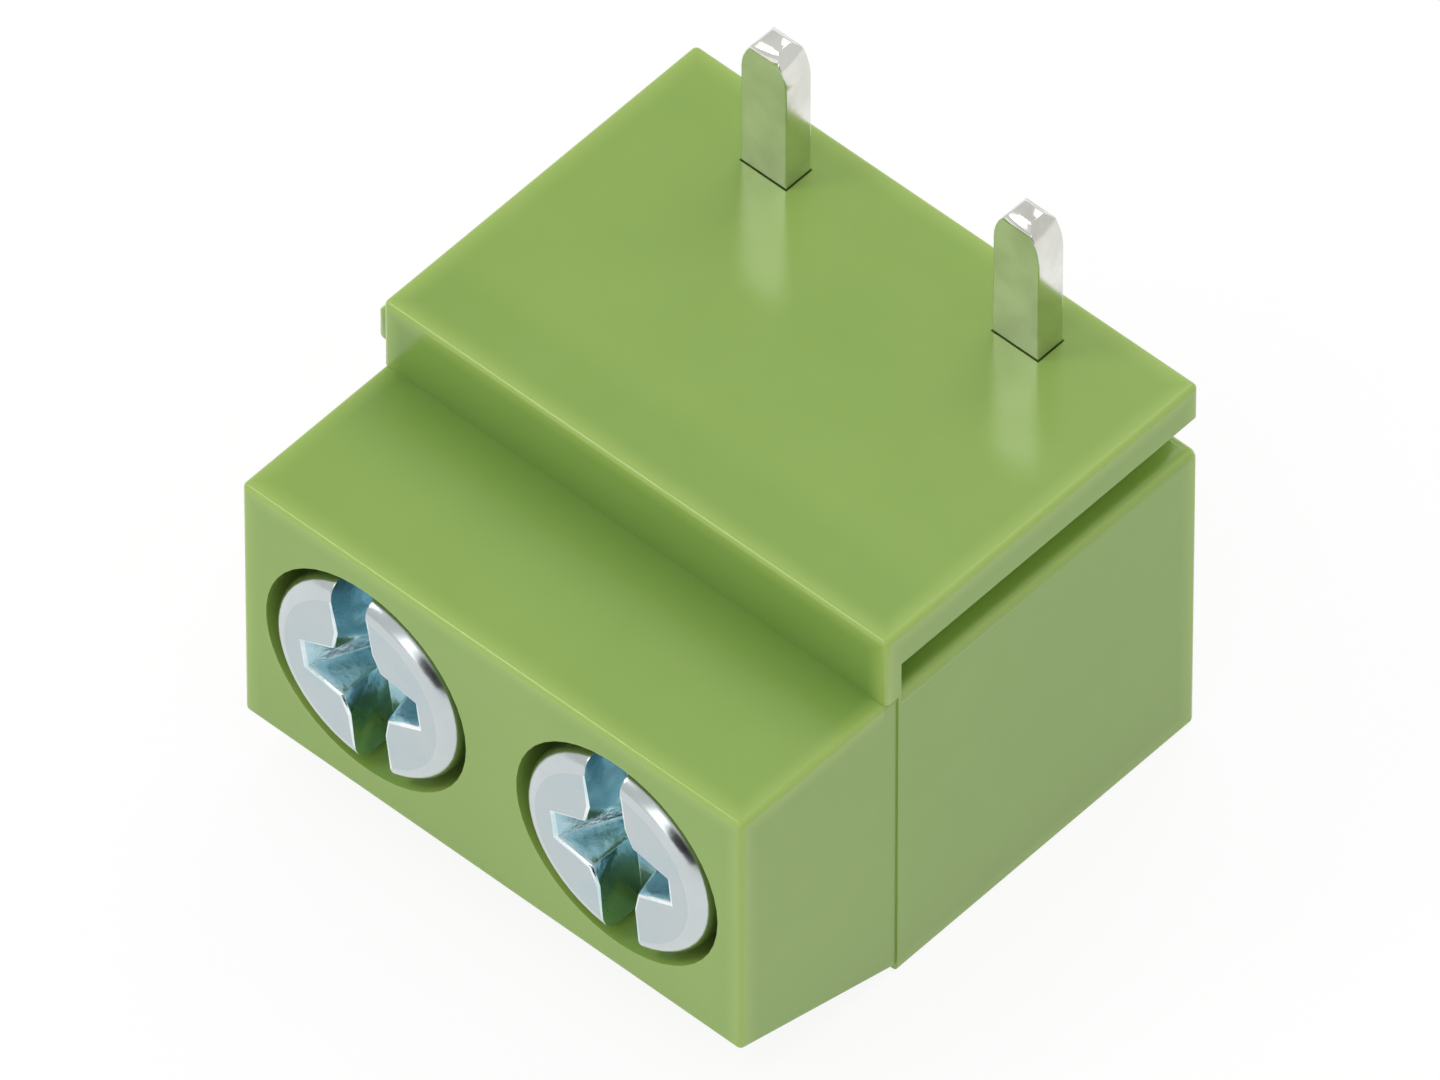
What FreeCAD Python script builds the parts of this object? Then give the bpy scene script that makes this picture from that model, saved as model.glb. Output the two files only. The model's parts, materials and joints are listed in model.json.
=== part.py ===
import FreeCAD, Part
import math
import os

import Sketcher

# A two pole rising clamp terminal block for a circuit board, standing on its wire side.
# +X runs along the poles, +Y from the screw face to the rear, +Z from the wire side to the board.
# The origin is the middle of the moulding's footprint, on the plane that it stands on.

POLES = 2
SCREW_LEANS = (-9.0, -7.0)
TOOTH_COUNT = 4
# Two coordinates this close in millimetres count as the same, and so do two unit directions.
NEARNESS = 1e-4
DRIVING_SIZES = {
    "pitch": 5.0,
    "body_depth": 10.0,
    "body_height": 7.6,
    "plate_thickness": 1.4,
    "step_depth": 3.13,
    "seam_setback": 0.27,
    "nose_wall": 0.54,
    "nose_relief": 0.03,
    "knee_lift": 0.08,
    "corner_round": 0.1,
    "side_wall": 0.45,
    "rear_wall": 0.7,
    "ceiling": 0.3,
    "mouth_chamfer": 0.18,
    "key_height": 0.7,
    "groove_depth": 0.5,
    "key_gap": 0.06,
    "key_round": 0.15,
    "lip_round": 0.22,
    "head_diameter": 3.64,
    "head_bore": 4.0,
    "head_height": 1.95,
    "head_lift": 0.12,
    "head_round": 0.3,
    "shank_diameter": 2.5,
    "shank_bore": 2.8,
    "shank_chamfer": 0.3,
    "thread_gap": 0.03,
    "tip_gap": 0.03,
    "slot_width": 0.7,
    "slot_depth": 0.85,
    "cross_span": 2.3,
    "cross_width": 0.94,
    "cross_end_width": 0.5,
    "cross_depth": 1.3,
    "cross_foot_span": 0.9,
    "cross_foot_width": 0.5,
    "strip_thickness": 0.55,
    "bend_round": 0.2,
    "pin_width": 0.9,
    "pin_length": 2.76,
    "pin_gap": 0.02,
    "tip_width": 0.36,
    "tip_length": 0.65,
    "tip_bevel": 0.15,
    "tongue_reach": 0.6,
    "tongue_gap": 0.15,
    "cage_wall": 0.65,
    "chamber_wall": 0.6,
    "cage_gap": 0.1,
    "stop_gap": 0.05,
    "cage_round": 0.5,
    "tooth_depth": 0.12,
    "tooth_pitch": 0.6,
}


class Size:
    """A length in millimetres, kept with the formula that the size sheet works it out by."""

    def __init__(self, number, formula):
        self.number = number
        self.formula = formula

    def __add__(self, other):
        other = as_size(other)
        return Size(self.number + other.number, f"({self.formula} + {other.formula})")

    def __sub__(self, other):
        other = as_size(other)
        return Size(self.number - other.number, f"({self.formula} - {other.formula})")

    def __mul__(self, other):
        other = as_size(other)
        return Size(self.number * other.number, f"({self.formula} * {other.formula})")

    def __truediv__(self, other):
        other = as_size(other)
        return Size(self.number / other.number, f"({self.formula} / {other.formula})")

    def __neg__(self):
        return Size(-self.number, f"(0 - {self.formula})")


def as_size(value):
    """Let a plain number stand in a formula beside the named sizes."""
    if isinstance(value, Size):
        return value
    return Size(float(value), repr(float(value)))


doc = FreeCAD.newDocument("pcb_terminal_block")
sheet = doc.addObject("Spreadsheet::Sheet", "Sizes")
size = {}
for row, (alias, number) in enumerate(DRIVING_SIZES.items(), start=1):
    sheet.set(f"A{row}", alias)
    sheet.set(f"B{row}", str(number))
    sheet.setAlias(f"B{row}", alias)
    size[alias] = Size(number, f"Sizes.{alias}")
doc.recompute()

ZERO = as_size(0)
# Cutters run this far past the faces that they open.
OVERRUN = as_size(0.5)

# Levels and stations of the moulding.
block_width = size["pitch"] * POLES
first_pole_x = -size["pitch"] * (POLES - 1) / 2
front_y = -size["body_depth"] / 2
rear_y = size["body_depth"] / 2
step_y = front_y + size["step_depth"]
seam_y = step_y + size["seam_setback"]
top_z = size["body_height"]
step_z = top_z - size["plate_thickness"]
axis_z = step_z - size["nose_wall"] - size["head_bore"] / 2
nose_bottom_z = axis_z - size["head_bore"] / 2 - size["nose_wall"]
roof_z = step_z - size["ceiling"]
seat_depth = size["head_height"] - size["head_lift"]

# The stack inside a pole. What the chamber leaves beside the ring and the strip is shared between
# the room that the ring slides in and the room for a wire, which are the same length.
cavity_width = size["pitch"] - size["side_wall"] * 2
cavity_rear_y = rear_y - size["rear_wall"]
cavity_front_y = seam_y + size["chamber_wall"]
cage_rear_y = cavity_rear_y - size["cage_gap"]
ring_walls = size["cage_wall"] * 2
end_gaps = size["cage_gap"] + size["stop_gap"] * 3
cage_travel = (cavity_rear_y - cavity_front_y - ring_walls - end_gaps - size["strip_thickness"]) / 2
window_depth = size["strip_thickness"] + cage_travel + size["stop_gap"] * 2
cage_depth = window_depth + ring_walls
cage_front_y = cage_rear_y - cage_depth
tongue_y = cage_front_y + size["cage_wall"] + size["stop_gap"]
pin_rear_y = cavity_rear_y - size["pin_gap"]
pin_front_y = pin_rear_y - size["strip_thickness"]
web_bottom_z = roof_z - size["strip_thickness"]
cage_half_height = web_bottom_z - size["cage_gap"] - axis_z
cage_width = cavity_width - size["cage_gap"] * 2
window_width = cage_width - size["cage_wall"] * 2
tongue_width = window_width - size["tongue_gap"] * 2


def new_body(label):
    """Start a sub-part, which is named as its file will be."""
    body = doc.addObject("PartDesign::Body", label)
    body.Label = label
    return body


def origin_feature(body, role):
    """Find one of the body's own base planes or axes."""
    for feature in body.Origin.OriginFeatures:
        if feature.Role == role:
            return feature
    raise ValueError(f"{body.Label} has no {role}")


def new_sketch(body, name, role, offset=ZERO):
    """Lay a sketch on a base plane, moved along the plane's normal."""
    sketch = body.newObject("Sketcher::SketchObject", name)
    sketch.AttachmentSupport = [(origin_feature(body, role), "")]
    sketch.MapMode = "FlatFace"
    place = FreeCAD.Vector(0, 0, offset.number)
    sketch.AttachmentOffset = FreeCAD.Placement(place, FreeCAD.Rotation())
    sketch.setExpression("AttachmentOffset.Base.z", offset.formula)
    return sketch


def bind(sketch, constraint, formula):
    """Add a dimension to a sketch and tie it to the size sheet."""
    index = sketch.addConstraint(constraint)
    sketch.setExpression(f"Constraints[{index}]", formula)


def pin_point(sketch, geometry, vertex, point):
    """Dimension one vertex from the sketch's origin."""
    for kind, length in zip(("DistanceX", "DistanceY"), point):
        constraint = Sketcher.Constraint(kind, -1, 1, geometry, vertex, length.number)
        bind(sketch, constraint, length.formula)


def draw_polygon(sketch, points):
    """Draw a closed outline of straight sides through points in the sketch's plane."""
    corners = [FreeCAD.Vector(across.number, up.number, 0) for across, up in points]
    first = sketch.GeometryCount
    for index, corner in enumerate(corners):
        sketch.addGeometry(Part.LineSegment(corner, corners[(index + 1) % len(corners)]), False)
    for index, point in enumerate(points):
        follower = first + (index + 1) % len(points)
        sketch.addConstraint(Sketcher.Constraint("Coincident", first + index, 2, follower, 1))
        pin_point(sketch, first + index, 1, point)


def draw_rectangle(sketch, low, high):
    """Draw a rectangle between two opposite corners."""
    draw_polygon(sketch, [low, (high[0], low[1]), high, (low[0], high[1])])


def draw_circle(sketch, centre, radius):
    """Draw a dimensioned circle."""
    place = FreeCAD.Vector(centre[0].number, centre[1].number, 0)
    geometry = sketch.addGeometry(Part.Circle(place, FreeCAD.Vector(0, 0, 1), radius.number), False)
    pin_point(sketch, geometry, 3, centre)
    bind(sketch, Sketcher.Constraint("Radius", geometry, radius.number), radius.formula)


def extrude(body, kind, name, sketch, length, symmetric=False, reverse=False):
    """Pad or pocket a sketch, and make sure that the solid grew or shrank."""
    before = body.Shape.Volume if body.Tip else 0.0
    feature = body.newObject(f"PartDesign::{kind}", name)
    feature.Profile = sketch
    feature.Length = length.number
    feature.setExpression("Length", length.formula)
    feature.SideType = "Symmetric" if symmetric else "One side"
    feature.Reversed = reverse
    sketch.Visibility = False
    doc.recompute()
    change = body.Shape.Volume - before
    if (change <= 0.0) if kind == "Pad" else (change >= 0.0):
        raise ValueError(f"{name} changed nothing")
    return feature


def edges_where(body, test):
    """Name the tip's edges whose middle passes a test."""
    names = []
    for index, edge in enumerate(body.Tip.Shape.Edges, start=1):
        middle = edge.valueAt((edge.FirstParameter + edge.LastParameter) / 2)
        if test(middle, edge):
            names.append(f"Edge{index}")
    if not names:
        raise ValueError(f"{body.Label} has no such edge")
    return names


def near(number, length):
    """Tell whether a coordinate lies on a named length."""
    return abs(number - length.number) < NEARNESS


def runs_along(edge, letter):
    """Tell whether a straight edge lies along one axis."""
    first, last = (vertex.Point for vertex in (edge.Vertexes[0], edge.Vertexes[-1]))
    run = last - first
    return abs(getattr(run, letter)) > run.Length * (1 - NEARNESS) > 0


def dress(body, kind, name, edges, length):
    """Round or chamfer edges of the tip."""
    base = body.Tip
    property_name = "Radius" if kind == "Fillet" else "Size"
    feature = body.newObject(f"PartDesign::{kind}", name)
    feature.Base = (base, edges)
    setattr(feature, property_name, length.number)
    feature.setExpression(property_name, length.formula)
    doc.recompute()
    return feature


def repeat(body, name, originals, role, length, count, reverse=False):
    """Repeat features in a row along a base axis."""
    feature = body.newObject("PartDesign::LinearPattern", name)
    feature.Originals = originals
    feature.Direction = (origin_feature(body, role), [""])
    feature.Reversed = reverse
    feature.Length = length.number
    feature.setExpression("Length", length.formula)
    feature.Occurrences = count
    body.Tip = feature
    doc.recompute()
    return feature


def pole_x(pole):
    """Give the middle of a pole, counted from the left."""
    return first_pole_x + size["pitch"] * pole


def place_body(body, x, y=ZERO, z=ZERO, lean=0.0):
    """Move a finished sub-part to its pole, turned about its own Y axis."""
    turn = FreeCAD.Rotation(FreeCAD.Vector(0, 1, 0), lean)
    body.Placement = FreeCAD.Placement(FreeCAD.Vector(x.number, y.number, z.number), turn)
    for letter, length in zip("xyz", (x, y, z)):
        body.setExpression(f"Placement.Base.{letter}", length.formula)


def build_housing():
    """Mould the body: a screw nose, a clamp chamber and the plate that seats on the board."""
    body = new_body("housing")

    nose = new_sketch(body, "NoseOutline", "YZ_Plane")
    buried_y = seam_y + OVERRUN
    draw_polygon(nose, [
        (front_y, nose_bottom_z),
        (seam_y, size["knee_lift"]),
        (buried_y, size["knee_lift"]),
        (buried_y, step_z),
        (front_y, step_z),
    ])
    extrude(body, "Pad", "Nose", nose, block_width - size["nose_relief"] * 2, symmetric=True)
    open_edges = edges_where(body, lambda middle, edge: middle.y < seam_y.number - 0.1)
    dress(body, "Fillet", "NoseRounds", open_edges, size["corner_round"])

    rear = new_sketch(body, "RearOutline", "YZ_Plane")
    draw_polygon(rear, [
        (seam_y, ZERO),
        (rear_y, ZERO),
        (rear_y, top_z),
        (step_y, top_z),
        (step_y, step_z),
        (seam_y, step_z),
    ])
    extrude(body, "Pad", "Rear", rear, block_width, symmetric=True)

    def is_outer(middle, edge):
        """Pick the plate's and the chamber's outer edges, and leave the seam sharp."""
        on_rim = near(middle.z, top_z) or near(middle.y, rear_y)
        on_foot = near(middle.z, ZERO) and middle.y > seam_y.number + 0.1
        plate_corner = near(middle.y, step_y) and runs_along(edge, "z") and middle.z > step_z.number
        return on_rim or on_foot or plate_corner

    dress(body, "Fillet", "RearRounds", edges_where(body, is_outer), size["corner_round"])

    # The keys that join blocks in a row: a rail on the left and its groove on the right.
    rail_low_z = step_z + size["key_gap"]
    rail_high_z = step_z + size["key_height"] - size["key_gap"]
    rail_reach = size["groove_depth"] - size["key_gap"]
    rail_root = OVERRUN
    rail = new_sketch(body, "RailOutline", "YZ_Plane", rail_root - block_width / 2)
    draw_rectangle(rail, (seam_y + size["key_gap"], rail_low_z), (rear_y, rail_high_z))
    extrude(body, "Pad", "Rail", rail, rail_reach + rail_root, reverse=True)
    rail_x = -block_width / 2 - rail_reach
    rail_edges = edges_where(body, lambda middle, edge: near(middle.x, rail_x))
    dress(body, "Fillet", "RailRounds", rail_edges, size["key_round"])

    groove = new_sketch(body, "GrooveOutline", "YZ_Plane", block_width / 2 + OVERRUN)
    groove_front_y = seam_y + size["key_gap"]
    draw_rectangle(groove, (groove_front_y, step_z), (rear_y + OVERRUN, step_z + size["key_height"]))
    extrude(body, "Pocket", "Groove", groove, size["groove_depth"] + OVERRUN)

    def is_lip(middle, edge):
        """Pick the long outer edge of the groove's lower face."""
        on_side = near(middle.x, block_width / 2) and near(middle.z, step_z)
        return on_side and runs_along(edge, "y") and middle.y > seam_y.number

    dress(body, "Fillet", "GrooveLip", edges_where(body, is_lip), size["lip_round"])

    # One pole's openings, then the same again for every other pole.
    bore = new_sketch(body, "HeadBoreCircle", "XZ_Plane", size["body_depth"] / 2)
    draw_circle(bore, (first_pole_x, axis_z), size["head_bore"] / 2)
    head_bore = extrude(body, "Pocket", "HeadBore", bore, seat_depth)

    shank = new_sketch(body, "ShankBoreCircle", "XZ_Plane", size["body_depth"] / 2)
    draw_circle(shank, (first_pole_x, axis_z), size["shank_bore"] / 2)
    shank_reach = cavity_front_y - front_y + OVERRUN
    shank_bore = extrude(body, "Pocket", "ShankBore", shank, shank_reach)

    chamber = new_sketch(body, "ChamberOutline", "XY_Plane")
    low_x = first_pole_x - cavity_width / 2
    high_x = first_pole_x + cavity_width / 2
    draw_rectangle(chamber, (low_x, cavity_front_y), (high_x, cavity_rear_y))
    clamp_chamber = extrude(body, "Pocket", "Chamber", chamber, roof_z, reverse=True)

    # The pin's slot has a lead-in towards the chamber, which clears the bend at the pin's root.
    slot = new_sketch(body, "PinSlotOutline", "YZ_Plane", first_pole_x)
    slot_front_y = pin_front_y - size["pin_gap"]
    lead_in = size["bend_round"] + size["pin_gap"] * 2
    draw_polygon(slot, [
        (slot_front_y, top_z + OVERRUN),
        (slot_front_y, roof_z + lead_in),
        (slot_front_y - lead_in, roof_z),
        (slot_front_y - lead_in, roof_z - OVERRUN),
        (cavity_rear_y, roof_z - OVERRUN),
        (cavity_rear_y, top_z + OVERRUN),
    ])
    slot_width = size["pin_width"] + size["pin_gap"] * 2
    pin_slot = extrude(body, "Pocket", "PinSlot", slot, slot_width, symmetric=True)

    openings = [head_bore, shank_bore, clamp_chamber, pin_slot]
    repeat(body, "Poles", openings, "X_Axis", size["pitch"] * (POLES - 1), POLES)

    def is_mouth(middle, edge):
        """Pick the edges round the wire mouths."""
        inside_y = cavity_front_y.number - NEARNESS < middle.y < cavity_rear_y.number + NEARNESS
        side_gap = block_width.number / 2 - abs(middle.x)
        return near(middle.z, ZERO) and inside_y and side_gap > size["side_wall"].number - NEARNESS

    dress(body, "Chamfer", "MouthChamfers", edges_where(body, is_mouth), size["mouth_chamfer"])
    return body


def build_contact(pole):
    """Fold the strip: a tongue inside the cage, a web under the roof and the solder pin."""
    body = new_body(f"contact_{pole + 1}")
    strip = size["strip_thickness"]
    outer_bend = size["bend_round"] + strip
    web_end_y = pin_front_y - size["bend_round"] - size["pin_gap"]
    tongue_rear_y = tongue_y + strip
    tongue_end_z = axis_z - cage_half_height - size["tongue_reach"]
    pin_top_z = top_z + size["pin_length"]

    tongue = new_sketch(body, "TongueOutline", "YZ_Plane")
    draw_polygon(tongue, [
        (tongue_y, tongue_end_z),
        (tongue_rear_y, tongue_end_z),
        (tongue_rear_y, web_bottom_z),
        (web_end_y, web_bottom_z),
        (web_end_y, roof_z),
        (tongue_y, roof_z),
    ])
    extrude(body, "Pad", "Tongue", tongue, tongue_width, symmetric=True)

    def in_bend(y, z):
        """Make a test for the edge that stands at one corner of the folded strip."""
        return lambda middle, edge: near(middle.y, y) and near(middle.z, z) and runs_along(edge, "x")

    inner_edge = edges_where(body, in_bend(tongue_rear_y, web_bottom_z))
    dress(body, "Fillet", "TongueInnerBend", inner_edge, size["bend_round"])
    outer_edge = edges_where(body, in_bend(tongue_y, roof_z))
    dress(body, "Fillet", "TongueOuterBend", outer_edge, outer_bend)

    pin = new_sketch(body, "PinOutline", "YZ_Plane")
    root_y = web_end_y - OVERRUN
    draw_polygon(pin, [
        (root_y, web_bottom_z),
        (pin_rear_y, web_bottom_z),
        (pin_rear_y, pin_top_z),
        (pin_front_y, pin_top_z),
        (pin_front_y, roof_z),
        (root_y, roof_z),
    ])
    extrude(body, "Pad", "Pin", pin, size["pin_width"], symmetric=True)
    inner_edge = edges_where(body, in_bend(pin_front_y, roof_z))
    dress(body, "Fillet", "PinInnerBend", inner_edge, size["bend_round"])
    outer_edge = edges_where(body, in_bend(pin_rear_y, web_bottom_z))
    dress(body, "Fillet", "PinOuterBend", outer_edge, outer_bend)

    # The tip narrows along an arc that starts straight up the pin's side.
    half_pin = size["pin_width"] / 2
    half_tip = size["tip_width"] / 2
    shoulder_z = pin_top_z - size["tip_length"]
    drop = half_pin - half_tip
    radius = (size["tip_length"] * size["tip_length"] + drop * drop) / (drop * 2)
    for side, sign in (("Left", -1), ("Right", 1)):
        cut = new_sketch(body, f"Tip{side}Outline", "XZ_Plane", -pin_rear_y - OVERRUN)
        draw_tip_side(cut, sign, half_pin, half_tip, shoulder_z, pin_top_z, radius)
        extrude(body, "Pocket", f"Tip{side}", cut, strip + OVERRUN * 2, reverse=True)

    def on_tip(middle, edge):
        """Pick the tip's front and rear edges."""
        return near(middle.z, pin_top_z) and runs_along(edge, "x")

    dress(body, "Chamfer", "TipBevels", edges_where(body, on_tip), size["tip_bevel"])
    place_body(body, pole_x(pole))
    return body


def draw_tip_side(sketch, sign, half_pin, half_tip, shoulder_z, top, radius):
    """Outline what is cut from one side of a pin's tip."""
    points = [
        (half_tip * sign, top),
        (half_tip * sign, top + OVERRUN),
        ((half_pin + OVERRUN) * sign, top + OVERRUN),
        ((half_pin + OVERRUN) * sign, shoulder_z),
        (half_pin * sign, shoulder_z),
    ]
    corners = [FreeCAD.Vector(across.number, up.number, 0) for across, up in points]
    for index, corner in enumerate(corners[:-1]):
        sketch.addGeometry(Part.LineSegment(corner, corners[index + 1]), False)
    centre = ((half_pin - radius) * sign, shoulder_z)
    middle = FreeCAD.Vector(centre[0].number, centre[1].number, 0)
    circle = Part.Circle(middle, FreeCAD.Vector(0, 0, 1), radius.number)
    low, high = sorted((circle.parameter(corners[-1]), circle.parameter(corners[0])))
    if high - low > math.pi:
        low, high = high, low
    sketch.addGeometry(Part.ArcOfCircle(circle, low, high), False)
    arc = len(corners) - 1
    arc_start = 1 if sketch.getPoint(arc, 1).distanceToPoint(corners[-1]) < NEARNESS else 2
    for index in range(len(corners) - 2):
        sketch.addConstraint(Sketcher.Constraint("Coincident", index, 2, index + 1, 1))
    sketch.addConstraint(Sketcher.Constraint("Coincident", arc - 1, 2, arc, arc_start))
    sketch.addConstraint(Sketcher.Constraint("Coincident", arc, 3 - arc_start, 0, 1))
    for index, point in enumerate(points[:-1]):
        pin_point(sketch, index, 1, point)
    pin_point(sketch, arc - 1, 2, points[-1])
    bind(sketch, Sketcher.Constraint("Radius", arc, radius.number), radius.formula)


def build_cage(pole):
    """Form the clamp ring, with its screw hole in front and gripping teeth in the rear wall."""
    body = new_body(f"clamp_cage_{pole + 1}")
    bottom_z = axis_z - cage_half_height
    height = cage_half_height * 2
    window_front_y = cage_front_y + size["cage_wall"]
    window_rear_y = cage_rear_y - size["cage_wall"]

    ring = new_sketch(body, "RingOutline", "XY_Plane", bottom_z)
    draw_rectangle(ring, (-cage_width / 2, cage_front_y), (cage_width / 2, cage_rear_y))
    draw_rectangle(ring, (-window_width / 2, window_front_y), (window_width / 2, window_rear_y))
    extrude(body, "Pad", "Ring", ring, height)

    def is_corner(half_width):
        """Make a test for the upright edges at one distance from the middle."""
        return lambda middle, edge: runs_along(edge, "z") and near(abs(middle.x), half_width)

    outer_corners = edges_where(body, is_corner(cage_width / 2))
    dress(body, "Fillet", "OuterRounds", outer_corners, size["cage_round"])
    inner_corners = edges_where(body, is_corner(window_width / 2))
    dress(body, "Fillet", "InnerRounds", inner_corners, size["bend_round"])

    hole = new_sketch(body, "ScrewHoleCircle", "XZ_Plane", -cage_front_y)
    draw_circle(hole, (ZERO, axis_z), size["shank_diameter"] / 2 + size["thread_gap"])
    extrude(body, "Pocket", "ScrewHole", hole, size["cage_wall"] + size["bend_round"])

    tooth = new_sketch(body, "ToothOutline", "YZ_Plane")
    first_z = axis_z - size["tooth_pitch"] * (TOOTH_COUNT - 1) / 2
    draw_polygon(tooth, [
        (window_rear_y - size["tooth_depth"], first_z - size["tooth_depth"] * 2),
        (window_rear_y + size["tooth_depth"], first_z),
        (window_rear_y - size["tooth_depth"], first_z + size["tooth_depth"] * 2),
    ])
    tooth_width = window_width - size["bend_round"] * 2
    first_tooth = extrude(body, "Pocket", "Tooth", tooth, tooth_width, symmetric=True)
    tooth_row = size["tooth_pitch"] * (TOOTH_COUNT - 1)
    repeat(body, "Teeth", [first_tooth], "Z_Axis", tooth_row, TOOTH_COUNT)
    place_body(body, pole_x(pole))
    return body


def build_screw(pole):
    """Turn the clamp screw, with a slot right across its head and a cross recess."""
    body = new_body(f"clamp_screw_{pole + 1}")
    head_radius = size["head_diameter"] / 2
    shank_radius = size["shank_diameter"] / 2
    tip_y = tongue_y - size["tip_gap"] - front_y + size["head_lift"]

    profile = new_sketch(body, "ScrewProfile", "XY_Plane")
    draw_polygon(profile, [
        (ZERO, ZERO),
        (head_radius, ZERO),
        (head_radius, size["head_height"]),
        (shank_radius, size["head_height"]),
        (shank_radius, tip_y - size["shank_chamfer"]),
        (shank_radius - size["shank_chamfer"], tip_y),
        (ZERO, tip_y),
    ])
    turned = body.newObject("PartDesign::Revolution", "Turned")
    turned.Profile = profile
    turned.ReferenceAxis = (profile, ["V_Axis"])
    turned.Angle = 360
    profile.Visibility = False
    doc.recompute()
    rim = edges_where(body, lambda middle, edge: near(middle.y, ZERO) and edge.Closed)
    dress(body, "Fillet", "RimRound", rim, size["head_round"])

    slot = new_sketch(body, "SlotOutline", "XZ_Plane")
    half_slot = size["slot_width"] / 2
    slot_reach = head_radius + OVERRUN
    draw_rectangle(slot, (-half_slot, -slot_reach), (half_slot, slot_reach))
    extrude(body, "Pocket", "Slot", slot, size["slot_depth"])

    mouth = new_sketch(body, "CrossMouth", "XZ_Plane")
    draw_cross(mouth, size["cross_span"] / 2, size["cross_width"] / 2, size["cross_end_width"] / 2)
    foot = new_sketch(body, "CrossFoot", "XZ_Plane", -size["cross_depth"])
    foot_half_width = size["cross_foot_width"] / 2
    draw_cross(foot, size["cross_foot_span"] / 2, foot_half_width, foot_half_width)
    doc.recompute()
    before = body.Shape.Volume
    cross = body.newObject("PartDesign::SubtractiveLoft", "CrossRecess")
    cross.Profile = mouth
    cross.Sections = [foot]
    cross.Ruled = True
    doc.recompute()
    if body.Shape.Volume >= before:
        raise ValueError("CrossRecess changed nothing")
    place_body(body, pole_x(pole), front_y - size["head_lift"], axis_z, SCREW_LEANS[pole])
    return body


def draw_cross(sketch, arm, half_width, half_end):
    """Draw a plus sign, with arms that narrow outwards, round the sketch's origin."""
    draw_polygon(sketch, [
        (half_width, half_width),
        (half_end, arm),
        (-half_end, arm),
        (-half_width, half_width),
        (-arm, half_end),
        (-arm, -half_end),
        (-half_width, -half_width),
        (-half_end, -arm),
        (half_end, -arm),
        (half_width, -half_width),
        (arm, -half_end),
        (arm, half_end),
    ])


def write_all(bodies):
    """Check every object, then write one file for each sub-part."""
    doc.recompute()
    for thing in doc.Objects:
        if "Invalid" in thing.State or "Error" in thing.State:
            raise ValueError(f"{thing.Label} failed")
    os.makedirs("parts", exist_ok=True)
    for body in bodies:
        shape = body.Shape
        if shape.isNull() or not shape.isValid() or len(shape.Solids) != 1:
            raise ValueError(f"{body.Label} is not one sound solid")
        print(f"{body.Label}: {shape.Volume:.2f} cubic mm")
        shape.exportStep(f"parts/{body.Label}.step")


sub_parts = [build_housing()]
for pole_index in range(POLES):
    sub_parts.append(build_contact(pole_index))
    sub_parts.append(build_cage(pole_index))
    sub_parts.append(build_screw(pole_index))
write_all(sub_parts)
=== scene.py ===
import json
import math

import bmesh
import bpy
from mathutils import Matrix, Quaternion, Vector


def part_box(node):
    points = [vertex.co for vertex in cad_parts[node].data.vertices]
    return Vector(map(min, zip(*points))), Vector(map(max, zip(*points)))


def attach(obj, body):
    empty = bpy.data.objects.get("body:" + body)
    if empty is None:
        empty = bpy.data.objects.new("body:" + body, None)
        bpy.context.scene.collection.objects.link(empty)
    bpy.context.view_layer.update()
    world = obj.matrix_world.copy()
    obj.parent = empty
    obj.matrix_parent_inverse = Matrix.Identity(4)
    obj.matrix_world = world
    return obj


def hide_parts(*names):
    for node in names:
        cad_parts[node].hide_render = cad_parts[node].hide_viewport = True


bl_info = {
    "name": "Terminal block dressing",
    "version": (1, 0, 0),
    "blender": (4, 5, 0),
    "location": "3D View > Sidebar > Terminal Block",
    "description": "Gives a two pole screw terminal block its finishes, small roundings and screw threads",
    "category": "Object",
}

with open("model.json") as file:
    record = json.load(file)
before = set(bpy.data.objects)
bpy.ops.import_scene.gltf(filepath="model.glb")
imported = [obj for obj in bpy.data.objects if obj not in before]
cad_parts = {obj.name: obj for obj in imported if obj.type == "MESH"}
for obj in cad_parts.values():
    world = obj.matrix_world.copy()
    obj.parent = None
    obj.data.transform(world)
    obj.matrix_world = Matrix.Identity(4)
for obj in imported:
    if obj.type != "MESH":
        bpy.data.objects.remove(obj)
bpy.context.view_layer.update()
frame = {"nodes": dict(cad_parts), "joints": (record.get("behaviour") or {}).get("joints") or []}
MM = 0.001
POLES = (1, 2)

# Least cosine between a flat face's normal and the axis that it looks along.
FACING = 0.99

# Places of the finishes in a screw's list of materials.
FACE_FINISH, RECESS_FINISH, RIM_HIGHLIGHT_FINISH, MOUTH_HIGHLIGHT_FINISH = range(4)

# The block's middle above the floor, which the camera and the lamps face.
MIDDLE = Vector((0.0, 0.0, 4.0)) * MM
LAMP_DISTANCE = 0.20

# White of the light tent and of the floor's glow, and the tone of the dark opening in the tent.
WHITE = (1.0, 1.0, 1.0, 1.0)
DARK = (0.02, 0.02, 0.02, 1.0)


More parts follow.
